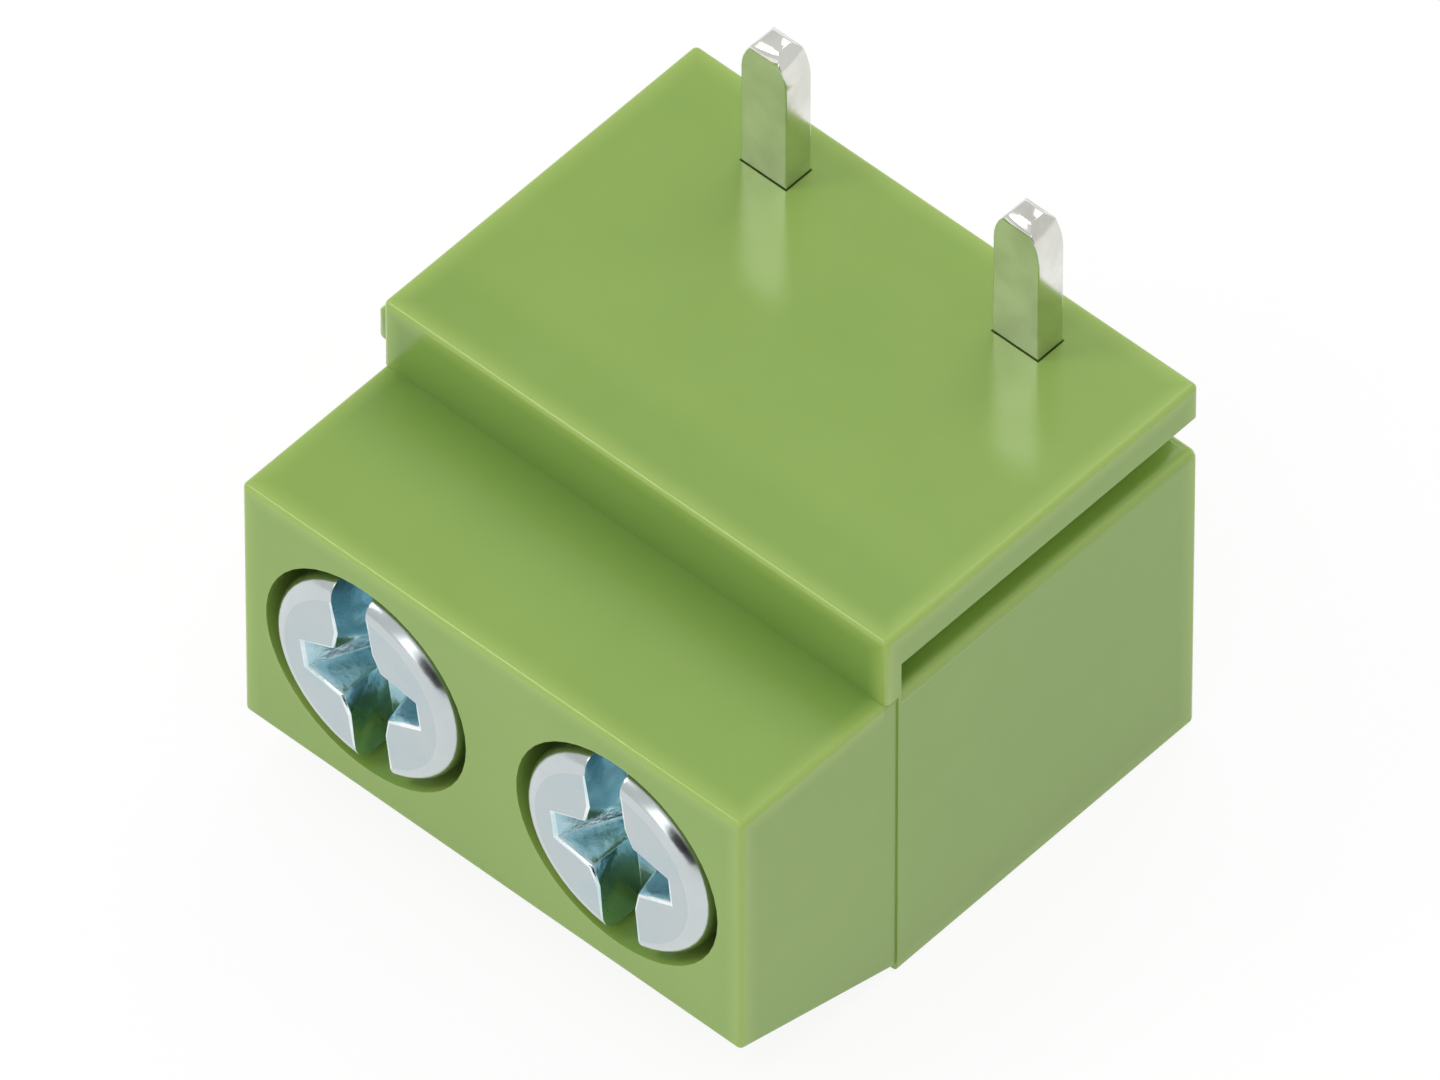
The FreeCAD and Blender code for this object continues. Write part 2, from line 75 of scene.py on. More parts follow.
class MouldingSettings(bpy.types.PropertyGroup):
    """Finish of the green moulding, with its painted edge highlights and painted corner shade."""

    colour: bpy.props.FloatVectorProperty(
        name="Plastic colour",
        description="Base colour of the moulding",
        subtype="COLOR",
        size=4,
        min=0.0,
        max=1.0,
        default=(0.275, 0.432, 0.084, 1.0),
    )
    # Painted highlight: a lighter colour on the rounded edges and in the band beside them, standing in for
    # their glint and for light coming through.
    edge_highlight_colour: bpy.props.FloatVectorProperty(
        name="Edge colour",
        description="Lighter tone of the thin plastic along the rounded edges",
        subtype="COLOR",
        size=4,
        min=0.0,
        max=1.0,
        default=(0.425, 0.585, 0.140, 1.0),
    )
    # Painted shade: a darker colour along the inner corner under the plate, where shade falls.
    crease_shade_colour: bpy.props.FloatVectorProperty(
        name="Deep colour",
        description="Darker tone where the plastic is thick, along the inner corner under the plate",
        subtype="COLOR",
        size=4,
        min=0.0,
        max=1.0,
        default=(0.145, 0.292, 0.036, 1.0),
    )
    # Reach and strength of the painted shade in the inner corner.
    crease_shade_width: bpy.props.FloatProperty(
        name="Deep width",
        description="Reach of the darker tone from the inner corner",
        subtype="DISTANCE",
        unit="LENGTH",
        min=0.01 * MM,
        default=1.6 * MM,
    )
    crease_shade_strength: bpy.props.FloatProperty(
        name="Deep strength",
        description="Share of the deep colour in the inner corner itself",
        min=0.0,
        max=1.0,
        default=0.74,
    )
    roughness: bpy.props.FloatProperty(
        name="Roughness",
        description="Sheen of the moulded faces, lower is glossier",
        min=0.0,
        max=1.0,
        default=0.21,
    )
    # Width and strength of the painted highlight band beside the outer edges.
    highlight_band_width: bpy.props.FloatProperty(
        name="Edge band",
        description="Width of the lighter band beside the outer edges, where light comes through",
        subtype="DISTANCE",
        unit="LENGTH",
        min=0.01 * MM,
        default=0.42 * MM,
    )
    highlight_band_strength: bpy.props.FloatProperty(
        name="Edge band strength",
        description="Share of the edge colour in the middle of the band",
        min=0.0,
        max=1.0,
        default=0.75,
    )
    rim_round: bpy.props.FloatProperty(
        name="Rim rounding",
        description="Radius left by the mould along edges that the drawing calls sharp",
        subtype="DISTANCE",
        unit="LENGTH",
        min=0.0,
        default=0.045 * MM,
    )


class MetalSettings(bpy.types.PropertyGroup):
    """Finish of the plated metal pieces."""

    screw_colour: bpy.props.FloatVectorProperty(
        name="Screw plating",
        description="Bluish white zinc of the screws' outer faces",
        subtype="COLOR",
        size=4,
        min=0.0,
        max=1.0,
        default=(0.54, 0.59, 0.60, 1.0),
    )
    recess_colour: bpy.props.FloatVectorProperty(
        name="Recess plating",
        description="Blue green tone of the zinc inside the driving recess",
        subtype="COLOR",
        size=4,
        min=0.0,
        max=1.0,
        default=(0.60, 0.76, 0.79, 1.0),
    )
    tin_colour: bpy.props.FloatVectorProperty(
        name="Tin plating",
        description="Warm white tin of the contact strips and pins",
        subtype="COLOR",
        size=4,
        min=0.0,
        max=1.0,
        default=(0.80, 0.80, 0.75, 1.0),
    )
    cage_colour: bpy.props.FloatVectorProperty(
        name="Cage plating",
        description="Nickel of the clamp cages",
        subtype="COLOR",
        size=4,
        min=0.0,
        max=1.0,
        default=(0.62, 0.60, 0.55, 1.0),
    )
    mouth_round: bpy.props.FloatProperty(
        name="Recess rounding",
        description="Radius that the stamping leaves round the mouth of the driving recess",
        subtype="DISTANCE",
        unit="LENGTH",
        min=0.0,
        default=0.042 * MM,
    )
    strip_round: bpy.props.FloatProperty(
        name="Strip edge rounding",
        description="Radius along the sheared edges of the contact strips and pins",
        subtype="DISTANCE",
        unit="LENGTH",
        min=0.0,
        default=0.06 * MM,
    )
    cage_round: bpy.props.FloatProperty(
        name="Cage edge rounding",
        description="Radius along the edges of the clamp cages",
        subtype="DISTANCE",
        unit="LENGTH",
        min=0.0,
        default=0.04 * MM,
    )
    screw_round: bpy.props.FloatProperty(
        name="Screw edge rounding",
        description="Radius along the outer edges of the screws",
        subtype="DISTANCE",
        unit="LENGTH",
        min=0.0,
        default=0.03 * MM,
    )
    thread_pitch: bpy.props.FloatProperty(
        name="Thread pitch",
        description="Advance of the screw in one turn",
        subtype="DISTANCE",
        unit="LENGTH",
        min=0.1 * MM,
        default=0.45 * MM,
    )
    thread_depth: bpy.props.FloatProperty(
        name="Thread depth",
        description="Depth of the thread's groove",
        subtype="DISTANCE",
        unit="LENGTH",
        min=0.01 * MM,
        default=0.2 * MM,
    )


class StudioSettings(bpy.types.PropertyGroup):
    """Floor, lamps and camera."""

    azimuth: bpy.props.FloatProperty(
        name="Camera azimuth",
        description="Turn of the camera round the block, from the screw face towards the right side",
        subtype="ANGLE",
        default=math.radians(42.197),
    )
    elevation: bpy.props.FloatProperty(
        name="Camera elevation",
        description="Height of the camera above the horizon",
        subtype="ANGLE",
        default=math.radians(49.042),
    )
    distance: bpy.props.FloatProperty(
        name="Camera distance",
        description="Distance from the aim point to the camera",
        subtype="DISTANCE",
        unit="LENGTH",
        default=594.7 * MM,
    )
    lens: bpy.props.FloatProperty(
        name="Lens",
        description="Focal length in millimetres on a sensor 36 mm wide",
        default=1006.5,
    )
    world_strength: bpy.props.FloatProperty(
        name="Tent light",
        description="Even light from all round, as in a light tent",
        min=0.0,
        default=0.735,
    )
    floor_colour: bpy.props.FloatVectorProperty(
        name="Floor colour",
        description="Colour of the plain studio floor",
        subtype="COLOR",
        size=4,
        min=0.0,
        max=1.0,
        default=(0.90, 0.90, 0.90, 1.0),
    )


def start_group(name, outputs, inputs):
    """Make a shader node group with named sockets, and give it with its input and output nodes."""
    group = bpy.data.node_groups.new(name, "ShaderNodeTree")
    for socket, kind, default in inputs:
        made = group.interface.new_socket(name=socket, in_out="INPUT", socket_type=kind)
        made.default_value = default
    for socket, kind in outputs:
        group.interface.new_socket(name=socket, in_out="OUTPUT", socket_type=kind)
    source = group.nodes.new("NodeGroupInput")
    sink = group.nodes.new("NodeGroupOutput")
    return group, source, sink


def add_node(tree, kind, values=(), **settings):
    """Add a node with its settings and unlinked input values."""
    node = tree.nodes.new(kind)
    for name, value in settings.items():
        setattr(node, name, value)
    for socket, value in dict(values).items():
        node.inputs[socket].default_value = value
    return node


def noise(tree, coordinates, scale, detail=2.0, roughness=0.5):
    """Add a noise texture that reads the given coordinates."""
    node = add_node(tree, "ShaderNodeTexNoise", {
        "Scale": scale,
        "Detail": detail,
        "Roughness": roughness,
    })
    tree.links.new(coordinates, node.inputs["Vector"])
    return node.outputs["Fac"]


def remap(tree, value, low, high, to_low=0.0, to_high=1.0):
    """Stretch one range of a value on to another."""
    node = add_node(tree, "ShaderNodeMapRange", {
        "From Min": low,
        "From Max": high,
        "To Min": to_low,
        "To Max": to_high,
    })
    tree.links.new(value, node.inputs["Value"])
    return node.outputs["Result"]


def math_node(tree, operation, first, second):
    """Join two values, each a socket or a number."""
    node = add_node(tree, "ShaderNodeMath", operation=operation)
    for index, value in enumerate((first, second)):
        if isinstance(value, (int, float)):
            node.inputs[index].default_value = value
        else:
            tree.links.new(value, node.inputs[index])
    return node.outputs["Value"]


def mix_colour(tree, factor, first, second, blend="MIX"):
    """Mix two colours, each a socket or a value."""
    node = add_node(tree, "ShaderNodeMix", data_type="RGBA", blend_type=blend)
    for index, value in ((0, factor), (6, first), (7, second)):
        if isinstance(value, bpy.types.NodeSocket):
            tree.links.new(value, node.inputs[index])
        else:
            node.inputs[index].default_value = value
    return node.outputs[2]


SURFACE_OUTPUTS = (
    ("Colour", "NodeSocketColor"),
    ("Roughness", "NodeSocketFloat"),
    ("Height", "NodeSocketFloat"),
)


def moulded_grain_group():
    """Build the look of moulded plastic: flow clouds, a fine grain, painted edge highlights and painted
    shade in the inner corner.
    """
    group, source, sink = start_group(
        "moulded_grain",
        SURFACE_OUTPUTS,
        [
            ("Base", "NodeSocketColor", (0.3, 0.44, 0.11, 1.0)),
            ("Edge", "NodeSocketColor", (0.42, 0.56, 0.19, 1.0)),
            ("Edge Mask", "NodeSocketFloat", 0.0),
            ("Crease Shade", "NodeSocketColor", (0.16, 0.30, 0.05, 1.0)),
            ("Deep Mask", "NodeSocketFloat", 0.0),
            ("Sheen Level", "NodeSocketFloat", 0.34),
        ],
    )
    place = add_node(group, "ShaderNodeTexCoord").outputs["Object"]
    clouds = noise(group, place, scale=260.0, detail=3.0, roughness=0.55)
    grain = noise(group, place, scale=14000.0, roughness=0.6)
    waves = noise(group, place, scale=1500.0)
    shade = (0.93, 0.95, 0.90, 1.0)
    darker = mix_colour(group, 1.0, source.outputs["Base"], shade, "MULTIPLY")
    cloudy = mix_colour(group, remap(group, clouds, 0.35, 0.65), darker, source.outputs["Base"])
    # Painted shade in the inner corner, then painted highlight along the edges.
    deep = mix_colour(group, source.outputs["Deep Mask"], cloudy, source.outputs["Crease Shade"])
    highlighted = mix_colour(group, source.outputs["Edge Mask"], deep, source.outputs["Edge"])
    group.links.new(highlighted, sink.inputs["Colour"])
    sheen_spread = 0.035
    wander = remap(group, waves, 0.3, 0.7, -sheen_spread, sheen_spread)
    sheen = math_node(group, "ADD", source.outputs["Sheen Level"], wander)
    group.links.new(sheen, sink.inputs["Roughness"])
    grain_share = 0.6
    fine = math_node(group, "MULTIPLY", grain, grain_share)
    group.links.new(math_node(group, "ADD", fine, waves), sink.inputs["Height"])
    return group


def painted_light_bands_group():
    """Build the masks of the painted highlight beside the outer edges and of the painted shade in the
    inner corner, from the surface's own place.
    """
    stations = ("Half Width", "Front", "Rear", "Step", "Step Level", "Top")
    group, source, sink = start_group(
        "painted_light_bands",
        [("Mask", "NodeSocketFloat"), ("Deep Mask", "NodeSocketFloat")],
        [(name, "NodeSocketFloat", 0.0) for name in (*stations, "Band Width", "Deep Width")],
    )
    margin = 0.01 * MM
    highlight_band_power = 1.6
    crease_shade_power = 1.5
    # Height counts less than depth, so that the painted corner shade covers the riser.
    rise_share = 0.7
    # The painted corner shade fades out between these distances from a side face.
    side_clear, side_full = 0.05 * MM, 0.4 * MM
    ends = source.outputs
    place = add_node(group, "ShaderNodeTexCoord").outputs["Object"]
    split = add_node(group, "ShaderNodeSeparateXYZ")
    group.links.new(place, split.inputs["Vector"])
    x, y, z = (split.outputs[letter] for letter in "XYZ")

    def choose(test, first, second):
        """Give the first value where the test is one, otherwise the second."""
        node = add_node(group, "ShaderNodeMix", data_type="FLOAT")
        group.links.new(test, node.inputs[0])
        group.links.new(second, node.inputs[2])
        group.links.new(first, node.inputs[3])
        return node.outputs[0]

    plate_start = math_node(group, "ADD", ends["Step Level"], margin)
    on_plate = math_node(group, "GREATER_THAN", z, plate_start)
    nose_end = math_node(group, "SUBTRACT", ends["Step"], margin)
    over_nose = math_node(group, "LESS_THAN", y, nose_end)
    front = choose(on_plate, ends["Step"], ends["Front"])
    roof = choose(over_nose, ends["Step Level"], ends["Top"])
    across = math_node(group, "SUBTRACT", ends["Half Width"], math_node(group, "ABSOLUTE", x, 0.0))
    from_front = math_node(group, "SUBTRACT", y, front)
    from_rear = math_node(group, "SUBTRACT", ends["Rear"], y)
    along = math_node(group, "MINIMUM", from_front, from_rear)
    height = math_node(group, "MINIMUM", z, math_node(group, "SUBTRACT", roof, z))
    lower = math_node(group, "MINIMUM", across, along)
    higher = math_node(group, "MAXIMUM", across, along)
    second = math_node(group, "MAXIMUM", lower, math_node(group, "MINIMUM", higher, height))
    # Painted highlight: a soft band, strongest at the outer edges, fading over the band width.
    share = math_node(group, "DIVIDE", second, ends["Band Width"])
    falling = remap(group, share, 0.0, 1.0, 1.0, 0.0)
    group.links.new(math_node(group, "POWER", falling, highlight_band_power), sink.inputs["Mask"])
    # Painted shade: darkest along the inner corner under the plate, fading with distance from it.
    back = math_node(group, "ABSOLUTE", math_node(group, "SUBTRACT", ends["Step"], y), 0.0)
    rise = math_node(group, "ABSOLUTE", math_node(group, "SUBTRACT", z, ends["Step Level"]), 0.0)
    rise = math_node(group, "MULTIPLY", rise, rise_share)
    reach = math_node(group, "DIVIDE", math_node(group, "MAXIMUM", back, rise), ends["Deep Width"])
    fading = math_node(group, "POWER", remap(group, reach, 0.0, 1.0, 1.0, 0.0), crease_shade_power)
    off_side = remap(group, across, side_clear, side_full)
    group.links.new(math_node(group, "MULTIPLY", fading, off_side), sink.inputs["Deep Mask"])
    return group


def plating_group():
    """Build the look of plated metal: a patchy tone and sheen, with fine specks in the relief."""
    group, source, sink = start_group(
        "plating",
        SURFACE_OUTPUTS,
        [
            ("Base", "NodeSocketColor", (0.7, 0.7, 0.7, 1.0)),
            ("Tone", "NodeSocketColor", (0.5, 0.6, 0.65, 1.0)),
            ("Tone Amount", "NodeSocketFloat", 0.4),
            ("Sheen Level", "NodeSocketFloat", 0.3),
            ("Spread", "NodeSocketFloat", 0.1),
        ],
    )
    place = add_node(group, "ShaderNodeTexCoord").outputs["Object"]
    ends = source.outputs
    patches = noise(group, place, scale=1300.0, detail=3.0, roughness=0.6)
    specks = noise(group, place, scale=9000.0, roughness=0.6)
    amount = math_node(group, "MULTIPLY", remap(group, patches, 0.38, 0.66), ends["Tone Amount"])
    toned = mix_colour(group, amount, ends["Base"], ends["Tone"])
    group.links.new(toned, sink.inputs["Colour"])
    wander = math_node(group, "MULTIPLY", remap(group, patches, 0.3, 0.7, -1.0, 1.0), ends["Spread"])
    group.links.new(math_node(group, "ADD", ends["Sheen Level"], wander), sink.inputs["Roughness"])
    speck_share = 0.5
    fine = math_node(group, "MULTIPLY", specks, speck_share)
    group.links.new(math_node(group, "ADD", fine, patches), sink.inputs["Height"])
    return group


def finish_material(name, group, values, bump, bump_height, shader_values):
    """Make a material from a shared group, with its shader and bump in the material itself."""
    material = bpy.data.materials.new(name)
    material.use_nodes = True
    tree = material.node_tree
    shader = tree.nodes["Principled BSDF"]
    look = add_node(tree, "ShaderNodeGroup", node_tree=group)
    for socket, value in values.items():
        look.inputs[socket].default_value = value
    tree.links.new(look.outputs["Colour"], shader.inputs["Base Color"])
    tree.links.new(look.outputs["Roughness"], shader.inputs["Roughness"])
    relief = add_node(tree, "ShaderNodeBump", {"Strength": bump, "Distance": bump_height})
    tree.links.new(look.outputs["Height"], relief.inputs["Height"])
    tree.links.new(relief.outputs["Normal"], shader.inputs["Normal"])
    for socket, value in shader_values.items():
        shader.inputs[socket].default_value = value
    return material


def shared_group(name):
    """Fetch a shared node group, and build it the first time."""
    makers = {
        "moulded_grain": moulded_grain_group,
        "painted_light_bands": painted_light_bands_group,
        "plating": plating_group,
    }
    return bpy.data.node_groups.get(name) or makers[name]()


def merged_copy(node):
    """Copy a node's drawing mesh into a bmesh of whole flat faces."""
    shape = bmesh.new()
    shape.from_mesh(frame["nodes"][node].data)
    bmesh.ops.remove_doubles(shape, verts=shape.verts, dist=0.0004 * MM)
    bmesh.ops.dissolve_limit(
        shape,
        angle_limit=math.radians(0.5),
        verts=shape.verts,
        edges=shape.edges,
    )
    return shape


def round_edges(shape, edges, width, segments=2, clamp=True):
    """Round chosen edges of a bmesh and give what the rounding made."""
    return bmesh.ops.bevel(
        shape,
        geom=edges,
        offset=width,
        offset_type="OFFSET",
        affect="EDGES",
        segments=segments,
        profile=0.5,
        material=-1,
        clamp_overlap=clamp,
    )


def soften_rims(shape, width, limit=math.radians(50)):
    """Round every crease that is sharper than the limit."""
    sharp = [edge for edge in shape.edges if edge.is_manifold and edge.calc_face_angle() > limit]
    round_edges(shape, sharp, width)


def drop_specks(shape, size):
    """Take out edges too short to matter, so that the mesh stays closed when it is exported."""
    bmesh.ops.dissolve_degenerate(shape, dist=size, edges=shape.edges)


def make_piece(name, shape, body, node, smooth_limit=math.radians(42)):
    """Turn a bmesh into a smooth shaded piece that rides on a body and stands for a node."""
    drop_specks(shape, size=0.0005 * MM)
    for edge in shape.edges:
        edge.smooth = not edge.is_manifold or edge.calc_face_angle() < smooth_limit
    for face in shape.faces:
        face.smooth = True
    mesh = bpy.data.meshes.new(name)
    shape.to_mesh(mesh)
    shape.free()
    piece = bpy.data.objects.new(name, mesh)
    bpy.context.scene.collection.objects.link(piece)
    even = piece.modifiers.new("even_normals", "WEIGHTED_NORMAL")
    even.mode = "FACE_AREA"
    even.weight = 100
    even.keep_sharp = True
    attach(piece, body)
    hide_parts(node)
    return piece


def mark_edge_highlight(shape, skip):
    """Store how far each vertex normal leans away from the nearest axis, as the mask of the painted
    highlight on the rounded edges.
    """
    # The edge attribute marks where the painted highlight goes on the rounded edges.
    layer = shape.verts.layers.float.new("edge")
    full_lean = 1.0 - math.sqrt(0.5)
    shape.normal_update()
    for vertex in shape.verts:
        lean = 1.0 - max(abs(part) for part in vertex.normal)
        vertex[layer] = 0.0 if skip(vertex.co) else min(1.0, lean / full_lean)


class BLOCK_OT_dress_moulding(bpy.types.Operator):
    """Replace the drawing's housing by one with softened rims and a moulded plastic finish, with painted
    edge highlights and painted corner shade
    """

    bl_idname = "block.dress_moulding"
    bl_label = "Dress the moulding"

    def execute(self, context):
        settings = context.scene.block_moulding
        shape = merged_copy("housing")
        soften_rims(shape, settings.rim_round)
        low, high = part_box("housing")
        skin = 0.3 * MM

        def is_inside(point):
            """Tell whether a point lies in a bore or a chamber."""
            deep_x = abs(point.x) < high.x - skin
            deep_y = low.y + skin < point.y < high.y - skin
            deep_z = low.z + skin < point.z < high.z - skin
            return deep_x and deep_y and deep_z

        # Painted highlight on the rounded edges, kept out of the bores and chambers.
        mark_edge_highlight(shape, is_inside)
        piece = make_piece("moulding", shape, "block", "housing")
        values = {
            "Base": settings.colour,
            "Edge": settings.edge_highlight_colour,
            "Crease Shade": settings.crease_shade_colour,
            "Sheen Level": settings.roughness,
        }
        material = finish_material(
            "green_moulding",
            shared_group("moulded_grain"),
            values,
            bump=0.05,
            bump_height=0.004 * MM,
            shader_values={
                "IOR": 1.5,
                "Subsurface Weight": 0.12,
                "Subsurface Radius": (0.9, 1.0, 0.4),
                "Subsurface Scale": 0.35 * MM,
            },
        )
        self.light_edges(material.node_tree, self.stations(piece.data), settings)
        piece.data.materials.append(material)
        return {"FINISHED"}

    @staticmethod
    def stations(mesh):
        """Measure where the moulding's outer planes stand, from its box, nose top and riser."""
        low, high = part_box("housing")
        below_plate = high.z - 1.0 * MM
        tops = [
            face for face in mesh.polygons
            if face.normal.z > FACING and face.center.z < below_plate
        ]
        nose = max(tops, key=lambda face: face.area)
        fronts = [
            face for face in mesh.polygons
            if face.normal.y < -FACING and face.center.z > nose.center.z
        ]
        riser = max(fronts, key=lambda face: face.area)
        return {
            "Half Width": high.x,
            "Front": low.y,
            "Rear": high.y,
            "Step": riser.center.y,
            "Step Level": nose.center.z,
            "Top": high.z,
        }

    @staticmethod
    def light_edges(tree, stations, settings):
        """Paint a highlight on the rounded edges and a soft band beside them, and paint shade into the
        inner corner.
        """
        rim = add_node(tree, "ShaderNodeAttribute", attribute_name="edge")
        band = add_node(tree, "ShaderNodeGroup", stations, node_tree=shared_group("painted_light_bands"))
        band.inputs["Band Width"].default_value = settings.highlight_band_width
        band.inputs["Deep Width"].default_value = settings.crease_shade_width
        # Painted highlight: the rim attribute or the soft band, whichever is stronger.
        soft = math_node(tree, "MULTIPLY", band.outputs["Mask"], settings.highlight_band_strength)
        crest = math_node(tree, "MULTIPLY", rim.outputs["Fac"], settings.highlight_band_strength)
        mask = math_node(tree, "MAXIMUM", crest, soft)
        # Painted shade in the inner corner.
        deep = math_node(tree, "MULTIPLY", band.outputs["Deep Mask"], settings.crease_shade_strength)
        look = next(node for node in tree.nodes if "Edge Mask" in node.inputs)
        tree.links.new(mask, look.inputs["Edge Mask"])
        tree.links.new(deep, look.inputs["Deep Mask"])


def metal_material(name, base, tone, amount, sheen, spread, bump, bump_height=0.006 * MM):
    """Make one plated metal finish."""
    values = {
        "Base": base,
        "Tone": tone,
        "Tone Amount": amount,
        "Sheen Level": sheen,
        "Spread": spread,
    }
    group = shared_group("plating")
    return finish_material(name, group, values, bump, bump_height, {"Metallic": 1.0})


class BLOCK_OT_dress_contacts(bpy.types.Operator):
    """Replace the contact strips by tinned ones with sheared edges rounded over"""

    bl_idname = "block.dress_contacts"
    bl_label = "Dress the contacts"

    def execute(self, context):
        settings = context.scene.block_metal
        material = metal_material(
            "tin_plate",
            settings.tin_colour,
            tone=(0.52, 0.52, 0.44, 1.0),
            amount=0.4,
            sheen=0.15,
            spread=0.05,
            bump=0.06,
        )
        for pole in POLES:
            shape = merged_copy(f"contact_{pole}")
            soften_rims(shape, settings.strip_round)
            name = f"contact_strip_{pole}"
            piece = make_piece(name, shape, "block", f"contact_{pole}")
            piece.data.materials.append(material)
        return {"FINISHED"}


class BLOCK_OT_dress_cages(bpy.types.Operator):
    """Replace the clamp cages by nickel plated ones with rounded rims"""

    bl_idname = "block.dress_cages"
    bl_label = "Dress the clamp cages"

    def execute(self, context):
        settings = context.scene.block_metal
        material = metal_material(
            "nickel_plate",
            settings.cage_colour,
            tone=(0.42, 0.40, 0.35, 1.0),
            amount=0.4,
            sheen=0.3,
            spread=0.08,
            bump=0.2,
        )
        for pole in POLES:
            node = f"clamp_cage_{pole}"
            shape = merged_copy(node)
            soften_rims(shape, settings.cage_round)
            piece = make_piece(f"cage_{pole}_ring", shape, f"cage_{pole}", node)
            piece.data.materials.append(material)
        return {"FINISHED"}


def cut_thread(shape, axis, start_y, end_y, crest, pitch, depth):
    """Shrink the shank to the thread's root and wind a closed ridge round it, its foot sunk in."""
    level_margin, radius_margin = 0.01 * MM, 0.02 * MM
    root = crest - depth
    for vertex in shape.verts:
        out = Vector((vertex.co.x - axis.x, 0.0, vertex.co.z - axis.z))
        behind_head = vertex.co.y > start_y - level_margin
        if behind_head and abs(out.length - crest) < radius_margin:
            out.length = root
            vertex.co.x = axis.x + out.x
            vertex.co.z = axis.z + out.z
    steps_in_turn = 40
    plain_turns = 0.9
    sunk, clearance = 0.05 * MM, 0.01 * MM
    half_foot, half_crest = pitch * 0.44, 0.03 * MM
    foot_x = axis.x + root - sunk
    crest_x = axis.x + crest - clearance
    first_y = start_y + pitch * 0.5
    corners = (
        (foot_x, first_y - half_foot, axis.z),
        (crest_x, first_y - half_crest, axis.z),
        (crest_x, first_y + half_crest, axis.z),
        (foot_x, first_y + half_foot, axis.z),
    )
    face = shape.faces.new([shape.verts.new(corner) for corner in corners])
    turns = (end_y - start_y) / pitch - plain_turns
    steps = int(steps_in_turn * turns)
    bmesh.ops.spin(
        shape,
        geom=[face, *face.verts, *face.edges],
        cent=(axis.x, 0.0, axis.z),
        axis=(0.0, -1.0, 0.0),
        dvec=(0.0, pitch / steps_in_turn, 0.0),
        angle=math.tau * steps / steps_in_turn,
        steps=steps,
        use_merge=False,
        use_duplicate=False,
    )


